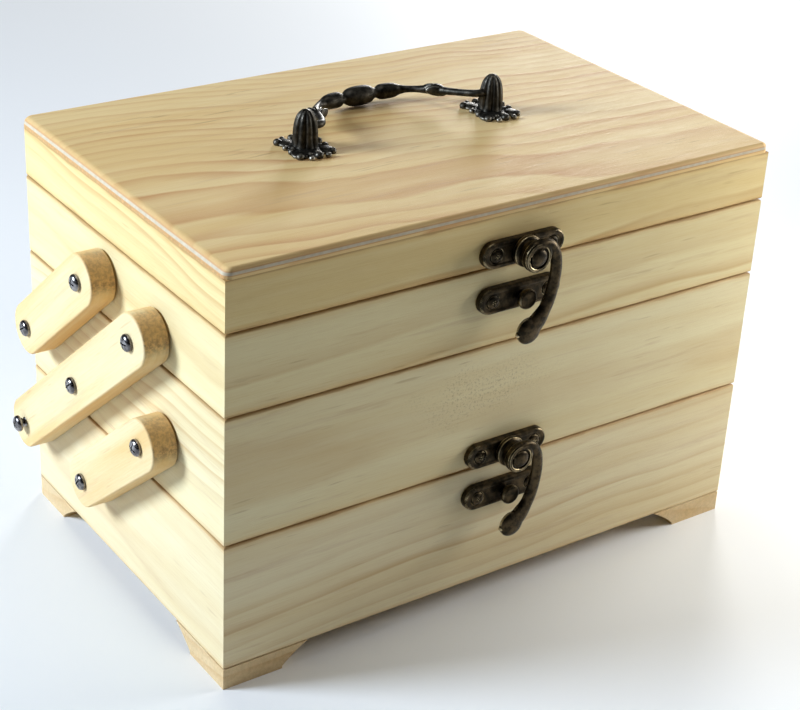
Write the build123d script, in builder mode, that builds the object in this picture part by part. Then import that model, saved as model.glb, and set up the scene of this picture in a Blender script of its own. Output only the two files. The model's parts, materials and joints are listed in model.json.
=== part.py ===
from build123d import *
from math import asin, cos, degrees, radians, sin
import os

# A wooden sewing box: a base on bracket feet, two trays that swing up and back on wooden
# arms, and a hinged lid with a drop handle. Millimetres, +Z up, +X to the right seen from
# the front, the floor at Z = 0 and the origin under the middle of the whole object.

# --- the wooden body -------------------------------------------------------------------
box_width = 180.0
box_depth = 117.0
wall = 6.3
foot_height = 6.5
base_board_height = 39.0
lower_tray_height = 37.7
upper_tray_height = 23.4
lid_board_height = 14.6
lid_top_thickness = 3.0
tier_gap = 0.3                  # shadow line between one tier and the next
bottom_thickness = 3.0
rabbet_width = 3.0              # how far a bottom panel reaches into the boards
panel_clearance = 0.1
front_corner_chamfer = 0.5
back_corner_radius = 3.0
board_edge_radius = 0.7
lid_front_edge_radius = 1.3
lid_edge_radius = 2.2

# --- bracket feet ----------------------------------------------------------------------
foot_top_length = 26.5
foot_bottom_length = 18.5
foot_toe_height = 0.8           # upright part of a foot's inner end
foot_end_hollow = 0.3           # how far its slanted part is hollowed

# --- folding arms ----------------------------------------------------------------------
arm_width = 15.2
arm_thickness = 7.2
arm_gap = 0.7                   # air between an arm and the box side
arm_tip = 9.0                   # from the last pivot to the end of the arm
arm_edge_radius = 0.6
arm_end_float = 0.1             # between an arm and the heads of its screws
arm_passing_gap = 0.7           # between the upper and middle arms with the trays folded back
arm_angle = 40.0                # above the horizontal, leaning forward, when closed
middle_pivot_from_back = 10.7
base_pivot_drop = 13.2          # the base's pivots below its top edge
upper_tray_pivot_rise = 7.38    # the middle arm's top pivot above the upper tray's bottom edge
lower_arm_offset = 39.0         # lower arm's pivots lie this far in front of the middle arm's
upper_arm_rise = 4.5            # upper arm's pivots lie this far above the middle arm's

# --- pivot screws ----------------------------------------------------------------------
pivot_screw_radius = 1.5
pivot_head_radius = 2.5
pivot_head_height = 1.7
pivot_screw_cover = 1.1         # wood left between a screw's point and the inside of a wall
pivot_running_clearance = 0.06
screw_fit_clearance = 0.02
drill_past = 0.3                # a drilled hole is this much deeper than its screw
proud_screw = 1.8               # the rear base screws stand this far off their arms

# --- swing latches ---------------------------------------------------------------------
latch_length = 27.4
latch_plate_height = 7.6
latch_plate_thickness = 2.4
latch_plate_chamfer = 0.7
latch_screw_spacing = 18.7
latch_plate_rise = 4.6          # centre of the upper plate above the parting line
catch_plate_drop = 8.9          # centre of the catch plate below the parting line
latch_screw_radius = 1.0
latch_head_radius = 1.9
latch_head_height = 0.8
latch_screw_cover = 1.7         # wood left beyond a latch screw's point
drum_radius = 4.5
rivet_radius = 1.2
rivet_head_radius = 2.0
rivet_head_height = 0.7
drum_lip = 0.2                  # the drum stands this far in front of the hook's face
hook_width = 2.9
hook_thickness = 2.3
hook_bends = ((2.0, 3.0), (5.2, 1.2), (7.2, -3.0), (7.4, -8.0), (5.6, -14.4), (2.4, -19.4))
knob_radius = 4.1
knob_thickness = 3.0
knob_drop = 21.8                # centre of the knob below the pivot
knob_shift = -0.6
latch_running_gap = 0.15
peg_radius = 1.5
peg_head_radius = 2.9
peg_head_height = 1.9
peg_head_chamfer = 0.5
peg_reach = 3.6                 # front of the peg's head in front of the catch plate

# --- drop handle -----------------------------------------------------------------------
handle_spacing = 64.0
handle_forward = 1.0            # the handle's pins in front of the middle of the lid
handle_plate_thickness = 1.6
handle_plate_width = 12.4
handle_plate_length = 17.0
handle_bead_radius = 1.3
handle_beads = ((6.6, 1.2), (3.9, 7.4), (0.0, 9.4))     # round the rim of a handle plate
post_radius = 3.6
post_height = 11.8
bail_pivot_height = 6.5         # above the lid
bail_reach = 22.4
bail_bends = ((2.2, 3.2), (5.6, 11.0), (11.6, 19.0))    # in from the pins, back from the pins
bail_rod_radius = 1.3
bail_pin_depth = 2.6            # into the post
bail_pin_showing = 1.5          # straight part of a pin beside its post
bail_clearance = 0.2            # beads above the lid at rest
bead_radius = 2.9
bead_length = 11.8
side_bead_radius = 2.3
side_bead_length = 9.6
leaf_radius = 2.0
leaf_length = 8.0
side_bead_place = 0.36          # share of the bail's length, from either pin
leaf_place = 0.17
bead_end_angle = 25             # where a bead's rounded outline is cut off at each end
handle_screw_radius = 1.5
handle_screw_head_radius = 2.8
handle_screw_head_height = 1.5
handle_screw_cover = 2.5        # from a handle screw's point up to the middle of the bail's pin

# --- lid hinges ------------------------------------------------------------------------
hinge_length = 26.0
hinge_from_end = 38.0           # from the side of the box to the middle of a hinge
hinge_leaf_height = 11.5
hinge_leaf_thickness = 1.0
knuckle_radius = 1.6
knuckle_gap = 0.15
hinge_pin_radius = 0.7
hinge_clearance = 0.05
hinge_screw_spacing = 15.0
hinge_screw_radius = 1.0
hinge_head_radius = 1.8
hinge_head_height = 0.7
hinge_screw_cover = 1.3         # wood left beyond a hinge screw's point
knuckle_stand_off = 0.1         # between a knuckle and the boards

# --- shared outlines -------------------------------------------------------------------
dome_steps = 5                  # straight cuts that a turned dome is made of
plan_overrun = 1.0              # cutting outlines reach this far past what they cut

# --- places worked out from the sizes above --------------------------------------------
pivot_screw_bite = wall - pivot_screw_cover
latch_screw_length = latch_plate_thickness + wall - latch_screw_cover
hinge_screw_length = hinge_leaf_thickness + wall - hinge_screw_cover
handle_screw_bite = bail_pivot_height - handle_screw_cover
drum_height = latch_running_gap + peg_reach + hook_thickness + drum_lip
latch_reach = latch_plate_thickness + latch_running_gap + drum_height + rivet_head_height
hinge_offset = knuckle_radius + knuckle_stand_off
hinge_reach = hinge_offset + knuckle_radius
front_y = latch_reach - (box_depth + latch_reach + hinge_reach) / 2
back_y = front_y + box_depth
middle_y = (front_y + back_y) / 2
side_x = box_width / 2

base_top = foot_height + base_board_height
lower_tray_bottom = base_top + tier_gap
lower_tray_top = lower_tray_bottom + lower_tray_height
upper_tray_bottom = lower_tray_top + tier_gap
upper_tray_top = upper_tray_bottom + upper_tray_height
lid_bottom = upper_tray_top + tier_gap
lid_board_top = lid_bottom + lid_board_height
lid_top = lid_board_top + lid_top_thickness

# the middle arm's pivots lie evenly between the base's and the upper tray's
lean = radians(arm_angle)
base_pivot_z = base_top - base_pivot_drop
pivot_rise = (upper_tray_bottom + upper_tray_pivot_rise - base_pivot_z) / 2
pivot_spacing = pivot_rise / sin(lean)
arm_step = (-pivot_spacing * cos(lean), pivot_rise)
# folded back, the upper arm lies beside the middle arm and just clears it
upper_arm_offset = (arm_width + arm_passing_gap + upper_arm_rise * cos(lean)) / sin(lean)


def stepped(point, steps):
    return (point[0] + steps * arm_step[0], point[1] + steps * arm_step[1])


# pivots as (y, z)
middle_base_pivot = (back_y - middle_pivot_from_back, base_pivot_z)
middle_lower_pivot = stepped(middle_base_pivot, 1)
middle_upper_pivot = stepped(middle_base_pivot, 2)
lower_base_pivot = (middle_base_pivot[0] - lower_arm_offset, middle_base_pivot[1])
lower_tray_pivot = stepped(lower_base_pivot, 1)
upper_lower_pivot = (middle_lower_pivot[0] + upper_arm_offset, middle_lower_pivot[1] + upper_arm_rise)
upper_tray_pivot = stepped(upper_lower_pivot, 1)

arm_inner_x = side_x + arm_gap
arm_outer_x = arm_inner_x + arm_thickness

hinge_axis_y = back_y + hinge_offset
hinge_axis_z = upper_tray_top + tier_gap / 2
hinge_xs = (-side_x + hinge_from_end, side_x - hinge_from_end)

handle_y = middle_y - handle_forward
handle_xs = (-handle_spacing / 2, handle_spacing / 2)
bail_z = lid_top + bail_pivot_height
bail_drop = bail_pivot_height - bead_radius - bail_clearance
bail_angle = degrees(asin(bail_drop / bail_reach))

os.makedirs("parts", exist_ok=True)


def keep(piece, name):
    piece.part.label = name
    export_step(piece.part, f"parts/{name}.step")


# --- small operations used inside an open part -----------------------------------------
def drill(point, direction, radius, depth):
    with BuildSketch(Plane(origin=point, z_dir=direction)) as hole:
        Circle(radius)
    extrude(hole.sketch, amount=depth, mode=Mode.SUBTRACT)


def turn(point, direction, profile):
    # revolves a closed (radius, height) outline about the line through point
    along = Vector(*direction)
    reference = Vector(0, 0, 1) if abs(along.Z) < 0.5 else Vector(1, 0, 0)
    upright = reference.cross(along)
    radial = along.cross(upright)
    with BuildSketch(Plane(origin=point, x_dir=radial, z_dir=upright)) as half:
        with BuildLine():
            Polyline(*profile, close=True)
        make_face()
    revolve(half.sketch, axis=Axis(point, direction))


def dome(radius, base, height):
    # the (radius, height) outline of a dome, from its rim at base to its top
    turns = [radians(90 * step / dome_steps) for step in range(dome_steps)]
    return [(radius * cos(a), base + height * sin(a)) for a in turns] + [(0, base + height)]


def screw(seat, outward, radius, head_radius, head_height, length):
    # a pan-head screw: seat is the point under its head, outward the way the head faces
    turn(seat, outward, [
        (0, -length),
        (radius, -length + 2 * radius),
        (radius, 0),
        (head_radius, 0),
        *dome(head_radius, head_height / 2, head_height / 2),
    ])


# --- boards ----------------------------------------------------------------------------
def outline(chamfer_front=True):
    # the outside of every tier, seen from above, in the open sketch
    with BuildSketch(mode=Mode.PRIVATE) as shape:
        with Locations((0, middle_y)):
            Rectangle(box_width, box_depth)
        rows = shape.vertices().group_by(Axis.Y)
        fillet(rows[-1], back_corner_radius)
        if chamfer_front:
            chamfer(rows[0], front_corner_chamfer)
    add(shape.sketch)


def mitred(side):
    # the part of the plan that belongs to one board, cut along 45 degree lines
    out = plan_overrun
    reach = wall + out
    left, right = -side_x, side_x
    corners = {
        "front": [(left - out, front_y - out), (right + out, front_y - out),
                  (right - reach, front_y + reach), (left + reach, front_y + reach)],
        "back": [(left - out, back_y + out), (right + out, back_y + out),
                 (right - reach, back_y - reach), (left + reach, back_y - reach)],
        "left": [(left - out, front_y - out), (left - out, back_y + out),
                 (left + reach, back_y - reach), (left + reach, front_y + reach)],
        "right": [(right + out, front_y - out), (right + out, back_y + out),
                  (right - reach, back_y - reach), (right - reach, front_y + reach)],
    }
    with BuildLine() as wedge:
        Polyline(*corners[side], close=True)
    make_face(wedge.edges(), mode=Mode.INTERSECT)


def outer_edges(piece, side, level):
    # the long outer edge at the top (-1) or bottom (0) of a board
    row = piece.edges().group_by(Axis.Z)[level]
    axis = Axis.Y if side in ("front", "back") else Axis.X
    return row.group_by(axis)[0 if side in ("front", "left") else -1]


def board(name, side, bottom, height, holes=(), rabbet=True, round_top=True, round_bottom=True):
    with BuildPart() as piece:
        with BuildSketch(Plane.XY.offset(bottom)):
            outline()
            with Locations((0, middle_y)):
                Rectangle(box_width - 2 * wall, box_depth - 2 * wall, mode=Mode.SUBTRACT)
            mitred(side)
        extrude(amount=height)
        levels = [-1] * round_top + [0] * round_bottom
        for level in levels:
            fillet(outer_edges(piece, side, level), board_edge_radius)
        if rabbet:
            inside = 2 * (wall - rabbet_width)
            with BuildSketch(Plane.XY.offset(bottom)):
                with Locations((0, middle_y)):
                    Rectangle(box_width - inside, box_depth - inside)
            extrude(amount=bottom_thickness + panel_clearance, mode=Mode.SUBTRACT)
        for point, direction, radius, depth in holes:
            drill(point, direction, radius, depth)
    keep(piece, name)


def bottom_panel(name, bottom):
    inside = 2 * (wall - rabbet_width + panel_clearance)
    with BuildPart() as piece:
        with BuildSketch(Plane.XY.offset(bottom)):
            with Locations((0, middle_y)):
                Rectangle(box_width - inside, box_depth - inside)
        extrude(amount=bottom_thickness)
    keep(piece, name)


# --- holes that the boards need --------------------------------------------------------
def pivot_holes(side, pivots):
    sign = -1 if side == "left" else 1
    radius = pivot_screw_radius + screw_fit_clearance
    depth = pivot_screw_bite + drill_past
    return [((sign * side_x, y, z), (-sign, 0, 0), radius, depth) for y, z in pivots]


def plate_holes(height):
    # screw holes for a latch or catch plate centred at this height on a front board
    radius = latch_screw_radius + screw_fit_clearance
    depth = latch_screw_length - latch_plate_thickness + drill_past
    xs = (-latch_screw_spacing / 2, latch_screw_spacing / 2)
    return [((x, front_y, height), (0, 1, 0), radius, depth) for x in xs]


def hinge_screw_places(level):
    # level is +1 for the leaf on the lid and -1 for the leaf on the tray
    height = hinge_axis_z + level * (knuckle_radius + hinge_leaf_height) / 2
    half = hinge_screw_spacing / 2
    return [(x + step, height) for x in hinge_xs for step in (-half, half)]


def hinge_holes(level):
    radius = hinge_screw_radius + screw_fit_clearance
    depth = hinge_screw_length - hinge_leaf_thickness + drill_past
    return [((x, back_y, z), (0, -1, 0), radius, depth) for x, z in hinge_screw_places(level)]


# --- base ------------------------------------------------------------------------------
base_latch_z = base_top - catch_plate_drop
base_pivots = (lower_base_pivot, middle_base_pivot)
board("base_front_board", "front", foot_height, base_board_height, plate_holes(base_latch_z))
board("base_back_board", "back", foot_height, base_board_height)
for side in ("left", "right"):
    board(f"base_{side}_board", side, foot_height, base_board_height, pivot_holes(side, base_pivots))
bottom_panel("base_bottom", foot_height)


def foot(name, sign_x, front):
    # an L-shaped bracket foot with slanted inner ends, flush with the boards above it
    corner_x = sign_x * side_x
    corner_y = front_y if front else back_y
    into_x = -sign_x
    into_y = 1 if front else -1
    with BuildPart() as piece:
        with BuildSketch():
            outline()
            with Locations((0, middle_y)):
                Rectangle(box_width - 2 * wall, box_depth - 2 * wall, mode=Mode.SUBTRACT)
            with Locations((corner_x, corner_y)):
                Rectangle(2 * foot_top_length, 2 * foot_top_length, mode=Mode.INTERSECT)
        extrude(amount=foot_height)
        near = foot_bottom_length
        far = foot_top_length
        beyond = far + plan_overrun
        below = -plan_overrun
        for along_x in (True, False):
            if along_x:
                plane = Plane(origin=(corner_x, corner_y, 0), x_dir=(into_x, 0, 0), z_dir=(0, -into_x, 0))
                run = -into_x * into_y * 2 * wall
            else:
                plane = Plane(origin=(corner_x, corner_y, 0), x_dir=(0, into_y, 0), z_dir=(into_y, 0, 0))
                run = into_y * into_x * 2 * wall
            with BuildSketch(plane):
                with BuildLine():
                    Line((near, below), (near, foot_toe_height))
                    SagittaArc((near, foot_toe_height), (far, foot_height), foot_end_hollow)
                    Polyline((far, foot_height), (beyond, foot_height), (beyond, below), (near, below))
                make_face()
            extrude(amount=run, mode=Mode.SUBTRACT)
    keep(piece, name)


foot("foot_front_left", -1, True)
foot("foot_front_right", 1, True)
foot("foot_back_left", -1, False)
foot("foot_back_right", 1, False)

# --- lower tray ------------------------------------------------------------------------
lower_tray_latch_z = base_top + latch_plate_rise
lower_tray_pivots = (lower_tray_pivot, middle_lower_pivot, upper_lower_pivot)
board("lower_tray_front_board", "front", lower_tray_bottom, lower_tray_height,
      plate_holes(lower_tray_latch_z))
board("lower_tray_back_board", "back", lower_tray_bottom, lower_tray_height)
for side in ("left", "right"):
    board(f"lower_tray_{side}_board", side, lower_tray_bottom, lower_tray_height,
          pivot_holes(side, lower_tray_pivots))
bottom_panel("lower_tray_bottom", lower_tray_bottom)

# --- upper tray ------------------------------------------------------------------------
upper_tray_latch_z = upper_tray_top - catch_plate_drop
upper_tray_pivots = (middle_upper_pivot, upper_tray_pivot)
board("upper_tray_front_board", "front", upper_tray_bottom, upper_tray_height,
      plate_holes(upper_tray_latch_z))
board("upper_tray_back_board", "back", upper_tray_bottom, upper_tray_height, hinge_holes(-1))
for side in ("left", "right"):
    board(f"upper_tray_{side}_board", side, upper_tray_bottom, upper_tray_height,
          pivot_holes(side, upper_tray_pivots))
bottom_panel("upper_tray_bottom", upper_tray_bottom)

# --- lid -------------------------------------------------------------------------------
lid_latch_z = upper_tray_top + latch_plate_rise
lid_frame = {"rabbet": False, "round_top": False}
board("lid_front_board", "front", lid_bottom, lid_board_height, plate_holes(lid_latch_z), **lid_frame)
board("lid_back_board", "back", lid_bottom, lid_board_height, hinge_holes(1), **lid_frame)
board("lid_left_board", "left", lid_bottom, lid_board_height, **lid_frame)
board("lid_right_board", "right", lid_bottom, lid_board_height, **lid_frame)

with BuildPart() as lid_panel:
    with BuildSketch(Plane.XY.offset(lid_board_top)):
        outline(chamfer_front=False)
    extrude(amount=lid_top_thickness)
    top_edges = lid_panel.edges().group_by(Axis.Z)[-1]
    front_edge = top_edges.group_by(Axis.Y)[0]
    fillet(front_edge, lid_front_edge_radius)
    back_edge = lid_panel.edges().group_by(Axis.Z)[-1].group_by(Axis.Y)[-1]
    fillet(back_edge, lid_edge_radius)
    for x in handle_xs:
        drill((x, handle_y, lid_board_top), (0, 0, 1), handle_screw_radius + screw_fit_clearance,
              lid_top_thickness)
keep(lid_panel, "lid_top")


# --- folding arms ----------------------------------------------------------------------
def arm(name, side, pivots):
    # pivots run from the lowest to the highest
    sign = -1 if side == "left" else 1
    first, last = pivots[0], pivots[-1]
    middle = ((first[0] + last[0]) / 2, (first[1] + last[1]) / 2)
    between = (len(pivots) - 1) * pivot_spacing
    plane = Plane(origin=(sign * arm_inner_x, 0, 0), x_dir=(0, sign, 0), z_dir=(sign, 0, 0))
    with BuildPart() as piece:
        with BuildSketch(plane):
            with Locations((sign * middle[0], middle[1])):
                SlotOverall(between + 2 * arm_tip, arm_width, rotation=-sign * arm_angle)
            with Locations(*[(sign * y, z) for y, z in pivots]):
                Circle(pivot_screw_radius + pivot_running_clearance, mode=Mode.SUBTRACT)
        extrude(amount=arm_thickness)
        outer_face = piece.faces().sort_by(Axis.X)[0 if sign < 0 else -1]
        fillet(outer_face.outer_wire().edges(), arm_edge_radius)
    keep(piece, name)


for side in ("left", "right"):
    arm(f"{side}_lower_arm", side, (lower_base_pivot, lower_tray_pivot))
    arm(f"{side}_middle_arm", side, (middle_base_pivot, middle_lower_pivot, middle_upper_pivot))
    arm(f"{side}_upper_arm", side, (upper_lower_pivot, upper_tray_pivot))


def pivot_screws(name, pivots):
    # one screw at each pivot on both sides, turned through the arm into the board
    with BuildPart() as piece:
        for sign in (-1, 1):
            for y, z in pivots:
                off = proud_screw if (y, z) == middle_base_pivot else arm_end_float
                seat = (sign * (arm_outer_x + off), y, z)
                length = off + arm_thickness + arm_gap + pivot_screw_bite
                screw(seat, (sign, 0, 0), pivot_screw_radius, pivot_head_radius, pivot_head_height, length)
    keep(piece, name)


arm_end_float = 0.1             # between an arm and the heads of its screws
pivot_screws("base_pivot_screws", base_pivots)
pivot_screws("lower_tray_pivot_screws", lower_tray_pivots)
pivot_screws("upper_tray_pivot_screws", upper_tray_pivots)


# --- swing latches ---------------------------------------------------------------------
def on_front(height, depth=0.0):
    # a sketch plane facing the viewer, depth in front of the front boards
    return Plane(origin=(0, front_y - depth, height), x_dir=(1, 0, 0), z_dir=(0, -1, 0))


def plate(name, height, middle_hole):
    with BuildPart() as piece:
        with BuildSketch(on_front(height)):
            SlotOverall(latch_length, latch_plate_height)
            with Locations((-latch_screw_spacing / 2, 0), (latch_screw_spacing / 2, 0)):
                Circle(latch_screw_radius + screw_fit_clearance, mode=Mode.SUBTRACT)
            if middle_hole:
                Circle(middle_hole, mode=Mode.SUBTRACT)
        extrude(amount=latch_plate_thickness)
        rim = piece.faces().sort_by(Axis.Y)[0].outer_wire().edges()
        chamfer(rim, latch_plate_chamfer)
    keep(piece, name)


def plate_screws(name, height):
    with BuildPart() as piece:
        for x in (-latch_screw_spacing / 2, latch_screw_spacing / 2):
            seat = (x, front_y - latch_plate_thickness, height)
            screw(seat, (0, -1, 0), latch_screw_radius, latch_head_radius, latch_head_height,
                  latch_screw_length)
    keep(piece, name)


def latch_arm(name, height):
    # the drum on the pivot, the hook that bends round the peg, and the thumb knob
    drum_back = latch_plate_thickness + latch_running_gap
    hook_back = drum_back + drum_height - hook_thickness
    with BuildPart() as piece:
        with BuildSketch(on_front(height, drum_back)):
            Circle(drum_radius)
        extrude(amount=drum_height)
        with BuildSketch(on_front(height, hook_back)):
            with BuildLine():
                Spline(*hook_bends, (knob_shift, -knob_drop))
            trace(line_width=hook_width)
        extrude(amount=hook_thickness)
        turn((knob_shift, front_y - hook_back, height - knob_drop), (0, -1, 0), [
            (0, 0),
            (knob_radius, 0),
            *dome(knob_radius, knob_thickness / 2, knob_thickness / 2),
        ])
        drill((0, front_y - drum_back, height), (0, -1, 0), rivet_radius + hinge_clearance, drum_height)
    keep(piece, name)


def latch_rivet(name, height, tail):
    # tail is how deep the rivet reaches behind the drum, into the plate's hole
    drum_face = latch_plate_thickness + latch_running_gap + drum_height
    with BuildPart() as piece:
        turn((0, front_y - drum_face, height), (0, -1, 0), [
            (0, -drum_height - tail),
            (rivet_radius, -drum_height - tail),
            (rivet_radius, 0),
            *dome(rivet_head_radius, 0, rivet_head_height),
        ])
    keep(piece, name)


def catch_peg(name, height):
    top = latch_plate_thickness + peg_reach
    with BuildPart() as piece:
        turn((0, front_y, height), (0, -1, 0), [
            (0, 0),
            (peg_radius, 0),
            (peg_radius, top - peg_head_height),
            (peg_head_radius, top - peg_head_height),
            (peg_head_radius, top - peg_head_chamfer),
            (peg_head_radius - peg_head_chamfer, top),
            (0, top),
        ])
    keep(piece, name)


for place, latch_z, catch_z in (("upper", lid_latch_z, upper_tray_latch_z),
                                ("lower", lower_tray_latch_z, base_latch_z)):
    plate(f"{place}_latch_plate", latch_z, rivet_radius + screw_fit_clearance)
    plate_screws(f"{place}_latch_screws", latch_z)
    latch_arm(f"{place}_latch_arm", latch_z)
    plate(f"{place}_catch_plate", catch_z, peg_radius + screw_fit_clearance)
    plate_screws(f"{place}_catch_screws", catch_z)
    catch_peg(f"{place}_catch_peg", catch_z)
latch_rivet("upper_latch_rivet", lid_latch_z, latch_plate_thickness + latch_running_gap)
latch_rivet("lower_latch_rivet", lower_tray_latch_z, 0)


# --- lid hinges ------------------------------------------------------------------------
def hinge_leaves(name, level):
    # level +1: the leaf on the lid with the middle knuckle; -1: the leaf on the tray with
    # the two outer knuckles
    knuckle = (hinge_length - 2 * knuckle_gap) / 3
    shift = knuckle + knuckle_gap
    own = [0] if level > 0 else [-shift, shift]
    other = [-shift, shift] if level > 0 else [0]
    parting_z = hinge_axis_z - level * tier_gap / 2
    relief_width = knuckle + 2 * knuckle_gap
    relief_height = 2 * knuckle_radius + 4 * knuckle_gap
    bore = hinge_pin_radius + (hinge_clearance if level > 0 else screw_fit_clearance)
    with BuildPart() as piece:
        for x in hinge_xs:
            holes = [place for place in hinge_screw_places(level) if abs(place[0] - x) < hinge_length]
            with BuildSketch(Plane.XZ.offset(-back_y)):
                with Locations((x, hinge_axis_z + level * hinge_leaf_height / 2)):
                    Rectangle(hinge_length, hinge_leaf_height)
                with Locations((x, parting_z)):
                    Rectangle(hinge_length, tier_gap * 2, mode=Mode.SUBTRACT)
                with Locations(*[(x + step, hinge_axis_z) for step in other]):
                    Rectangle(relief_width, relief_height, mode=Mode.SUBTRACT)
                with Locations(*holes):
                    Circle(hinge_screw_radius + screw_fit_clearance, mode=Mode.SUBTRACT)
            extrude(amount=-hinge_leaf_thickness)
            for step in own:
                start = x + step - knuckle / 2
                with BuildSketch(Plane(origin=(start, hinge_axis_y, hinge_axis_z), z_dir=(1, 0, 0))):
                    Circle(knuckle_radius)
                extrude(amount=knuckle)
            drill((x - hinge_length / 2, hinge_axis_y, hinge_axis_z), (1, 0, 0), bore, hinge_length)
    keep(piece, name)


hinge_leaves("lid_hinge_leaves", 1)
hinge_leaves("tray_hinge_leaves", -1)

with BuildPart() as hinge_pins:
    for x in hinge_xs:
        with BuildSketch(Plane(origin=(x - hinge_length / 2, hinge_axis_y, hinge_axis_z), z_dir=(1, 0, 0))):
            Circle(hinge_pin_radius)
        extrude(amount=hinge_length)
keep(hinge_pins, "hinge_pins")

for name, level in (("lid_hinge_screws", 1), ("tray_hinge_screws", -1)):
    with BuildPart() as hinge_screws:
        for x, z in hinge_screw_places(level):
            seat = (x, back_y + hinge_leaf_thickness, z)
            screw(seat, (0, 1, 0), hinge_screw_radius, hinge_head_radius, hinge_head_height,
                  hinge_screw_length)
    keep(hinge_screws, name)


# --- drop handle -----------------------------------------------------------------------
def handle_post(name, x):
    sign = -1 if x < 0 else 1
    corners = [(a, b) for a in (-1, 1) for b in (-1, 1)]
    beads = [(across * a, along * b) for across, along in handle_beads for a, b in corners]
    with BuildPart() as piece:
        with BuildSketch(Plane.XY.offset(lid_top)):
            with Locations((x, handle_y)):
                Ellipse(handle_plate_width / 2, handle_plate_length / 2)
                with Locations(*beads):
                    Circle(handle_bead_radius)
        extrude(amount=handle_plate_thickness)
        turn((x, handle_y, lid_top), (0, 0, 1), [
            (0, 0),
            (post_radius, 0),
            *dome(post_radius, bail_pivot_height, post_height - bail_pivot_height),
        ])
        drill((x, handle_y, lid_top), (0, 0, 1), handle_screw_radius + screw_fit_clearance,
              handle_screw_bite + drill_past)
        inner_face = x - sign * post_radius
        drill((inner_face, handle_y, bail_z), (sign, 0, 0), bail_rod_radius + hinge_clearance,
              bail_pin_depth + drill_past)
    keep(piece, name)


handle_post("handle_post_left", handle_xs[0])
handle_post("handle_post_right", handle_xs[1])

with BuildPart() as handle_screws:
    for x in handle_xs:
        screw((x, handle_y, lid_board_top), (0, 0, -1), handle_screw_radius, handle_screw_head_radius,
              handle_screw_head_height, lid_top_thickness + handle_screw_bite)
keep(handle_screws, "handle_screws")

# the bail is drawn on a plane through its two pins, tilted back and down onto the lid
tilt = radians(bail_angle)
bail_plane = Plane(origin=(0, handle_y, bail_z), x_dir=(1, 0, 0), z_dir=(0, sin(tilt), cos(tilt)))
post_face = handle_spacing / 2 - post_radius
pin_end = post_face + bail_pin_depth
pin_start = post_face - bail_pin_showing
half_route = [(pin_start, 0), *[(pin_start - inward, back) for inward, back in bail_bends]]


def bail_point(x, reach):
    return bail_plane.from_local_coords((x, reach, 0))


def bead(middle, direction, radius, length):
    # a spindle-shaped swelling on the rod: an oval cut off at both ends
    span = 180 - 2 * bead_end_angle
    turns = [radians(bead_end_angle + span * step / (2 * dome_steps)) for step in range(2 * dome_steps + 1)]
    scale = length / 2 / cos(turns[0])
    oval = [(radius * sin(a), -scale * cos(a)) for a in turns]
    turn(tuple(middle), tuple(direction), [(0, oval[0][1]), *oval, (0, oval[-1][1])])


with BuildPart() as bail:
    with BuildLine() as route:
        right_half = [bail_point(x, reach) for x, reach in half_route]
        left_half = [bail_point(-x, reach) for x, reach in reversed(half_route)]
        Spline(*right_half, bail_point(0, bail_reach), *left_half, tangents=[(-1, 0, 0), (-1, 0, 0)])
    with BuildSketch(Plane(origin=route.line @ 0, z_dir=route.line % 0)):
        Circle(bail_rod_radius)
    sweep(path=route.line)
    for sign in (-1, 1):
        with BuildSketch(Plane(origin=(sign * pin_start, handle_y, bail_z), z_dir=(sign, 0, 0))):
            Circle(bail_rod_radius)
        extrude(amount=pin_end - pin_start)
    bead(route.line @ 0.5, route.line % 0.5, bead_radius, bead_length)
    for share in (side_bead_place, 1 - side_bead_place):
        bead(route.line @ share, route.line % share, side_bead_radius, side_bead_length)
    for share in (leaf_place, 1 - leaf_place):
        bead(route.line @ share, route.line % share, leaf_radius, leaf_length)
keep(bail, "handle_bail")
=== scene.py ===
import json
import math
import random

import bmesh
import bpy
import numpy
from mathutils import Matrix, Vector


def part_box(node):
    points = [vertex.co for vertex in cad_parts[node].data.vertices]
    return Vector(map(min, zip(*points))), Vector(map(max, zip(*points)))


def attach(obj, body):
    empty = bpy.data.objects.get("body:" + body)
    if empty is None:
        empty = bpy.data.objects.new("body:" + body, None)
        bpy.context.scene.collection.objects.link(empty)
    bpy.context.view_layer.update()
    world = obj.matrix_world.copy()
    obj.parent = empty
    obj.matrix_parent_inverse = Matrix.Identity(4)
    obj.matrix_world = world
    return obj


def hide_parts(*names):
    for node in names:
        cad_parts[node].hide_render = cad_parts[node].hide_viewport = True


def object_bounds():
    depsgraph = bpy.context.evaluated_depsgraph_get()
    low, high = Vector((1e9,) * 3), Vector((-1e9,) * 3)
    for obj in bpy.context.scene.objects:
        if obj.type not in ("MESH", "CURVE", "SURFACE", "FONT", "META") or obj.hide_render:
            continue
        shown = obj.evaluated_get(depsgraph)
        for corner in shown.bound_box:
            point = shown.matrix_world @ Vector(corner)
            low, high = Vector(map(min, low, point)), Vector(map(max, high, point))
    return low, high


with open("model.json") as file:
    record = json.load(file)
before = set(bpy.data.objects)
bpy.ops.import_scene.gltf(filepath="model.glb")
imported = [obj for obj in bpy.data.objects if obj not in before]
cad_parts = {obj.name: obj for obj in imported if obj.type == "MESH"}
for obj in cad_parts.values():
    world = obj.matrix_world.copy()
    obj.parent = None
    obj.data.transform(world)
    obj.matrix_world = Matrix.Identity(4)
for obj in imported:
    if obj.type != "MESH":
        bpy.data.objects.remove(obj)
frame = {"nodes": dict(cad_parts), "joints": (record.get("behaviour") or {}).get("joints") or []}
cadLow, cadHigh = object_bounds()
mm = 0.001
scene = bpy.context.scene
joints = {joint["name"]: Vector(joint["pos_m"]) for joint in frame["joints"]}


# view, floor and light
viewFrom = {
    "place": (-0.2890, -0.4035, 0.3152),
    "azimuth": 35.863,
    "down": 27.813,
    "roll": 3.137,
    "lens": 83.42,
    "sensor": 36,
    "near": 0.01,
    "far": 50,
}

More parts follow.
